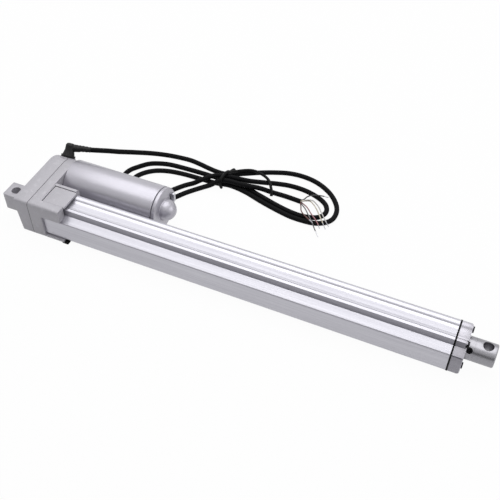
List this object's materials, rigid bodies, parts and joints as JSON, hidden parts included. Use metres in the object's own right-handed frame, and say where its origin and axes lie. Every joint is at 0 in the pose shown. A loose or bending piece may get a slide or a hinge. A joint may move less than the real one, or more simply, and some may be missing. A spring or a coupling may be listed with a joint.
{
  "type": "linear actuator",
  "caption": "Electric linear actuator: a motor beside an extruded tube drives a lead screw that slides a round rod; square rear lug, bored rod end, sleeved cable in a hank.",
  "frame": {"origin": "centre of the rear mounting hole, on the axis of the rod and lead screw", "axes": "+X along the rod, from the rear hole to the rod end; +Y towards the motor; +Z along both mounting holes, up from the surface it lies on"},
  "size_m": [0.472, 0.182, 0.0494],
  "materials": {
    "cast_paint": "fine-textured silver grey paint on die-cast aluminium",
    "anodised": "satin silver anodised extrusion",
    "rod_metal": "turned bright metal",
    "can_metal": "satin silver paint on drawn steel",
    "steel": "ground steel",
    "dark_steel": "black oxide",
    "black_rubber": "matt black",
    "black_plastic": "moulded black",
    "sleeve": "braided black sleeve",
    "wire_mix": "thin insulated wires in several colours",
    "paper": "gasket paper",
    "nylon": "natural nylon",
    "bronze": "sintered bronze",
    "copper": "enamelled copper",
    "ferrite": "dark ferrite",
    "board": "green circuit board",
    "carbon": "carbon brushes on a board"
  },
  "bodies": {
    "base": {"rear_housing": "cast_paint", "gearbox_housing": "cast_paint", "housing_gasket": "paper", "housing_screws": "dark_steel", "cradle_cover_plate": "cast_paint", "tube_screws": "dark_steel", "outer_tube": "anodised", "tube_gasket": "black_rubber", "front_end_cap": "anodised", "end_cap_screws": "dark_steel", "guide_bush": "nylon", "rod_seal": "black_rubber", "motor_can": "can_metal", "motor_front_plate": "steel", "motor_end_cap": "can_metal", "motor_magnets": "ferrite", "motor_bearings": "steel", "motor_brushes": "carbon", "motor_screws": "dark_steel", "motor_terminal_clip": "steel", "cable_gland": "black_plastic", "power_cord": "sleeve", "cord_wires": "wire_mix", "cord_tie": "sleeve", "switch_strip": "board", "rear_limit_switch": "black_plastic", "front_limit_switch": "black_plastic", "screw_bearing_outer": "steel", "screw_bearing_balls": "steel", "screw_tail_bush": "bronze", "idler_pin": "steel"},
    "rod": {"rod_tube": "rod_metal", "drive_nut": "nylon", "rod_end": "rod_metal", "rod_set_screw": "dark_steel"},
    "screw": {"lead_screw": "steel", "screw_gear": "nylon", "screw_bearing_inner": "steel"},
    "idler": {"idler_gear": "steel"},
    "rotor": {"motor_shaft": "steel", "armature_core": "steel", "armature_windings": "copper", "commutator": "copper", "motor_pinion": "steel"}
  },
  "joints": [
    {"name": "motor_spin", "type": "hinge", "parent": "base", "child": "rotor", "pos_m": [0.08, 0.0415, 0.0015], "axis": [-1, 0, 0], "range_deg": [0, 140190]},
    {"name": "idler_spin", "type": "hinge", "parent": "base", "child": "idler", "pos_m": [0.024, 0.02187, -0.00235], "axis": [-1, 0, 0], "range_deg": [-67500, 0]},
    {"name": "screw_spin", "type": "hinge", "parent": "base", "child": "screw", "pos_m": [0.03, 0, 0], "axis": [-1, 0, 0], "range_deg": [0, 31500]},
    {"name": "rod_slide", "type": "slide", "parent": "base", "child": "rod", "axis": [1, 0, 0], "range_m": [0, 0.35]}
  ],
  "couplings": [
    {"joint": "idler_spin", "follows": "motor_spin", "ratio": -0.48148},
    {"joint": "screw_spin", "follows": "motor_spin", "ratio": 0.22469},
    {"joint": "rod_slide", "follows": "motor_spin", "m_per_rad": 0.00014304}
  ]
}
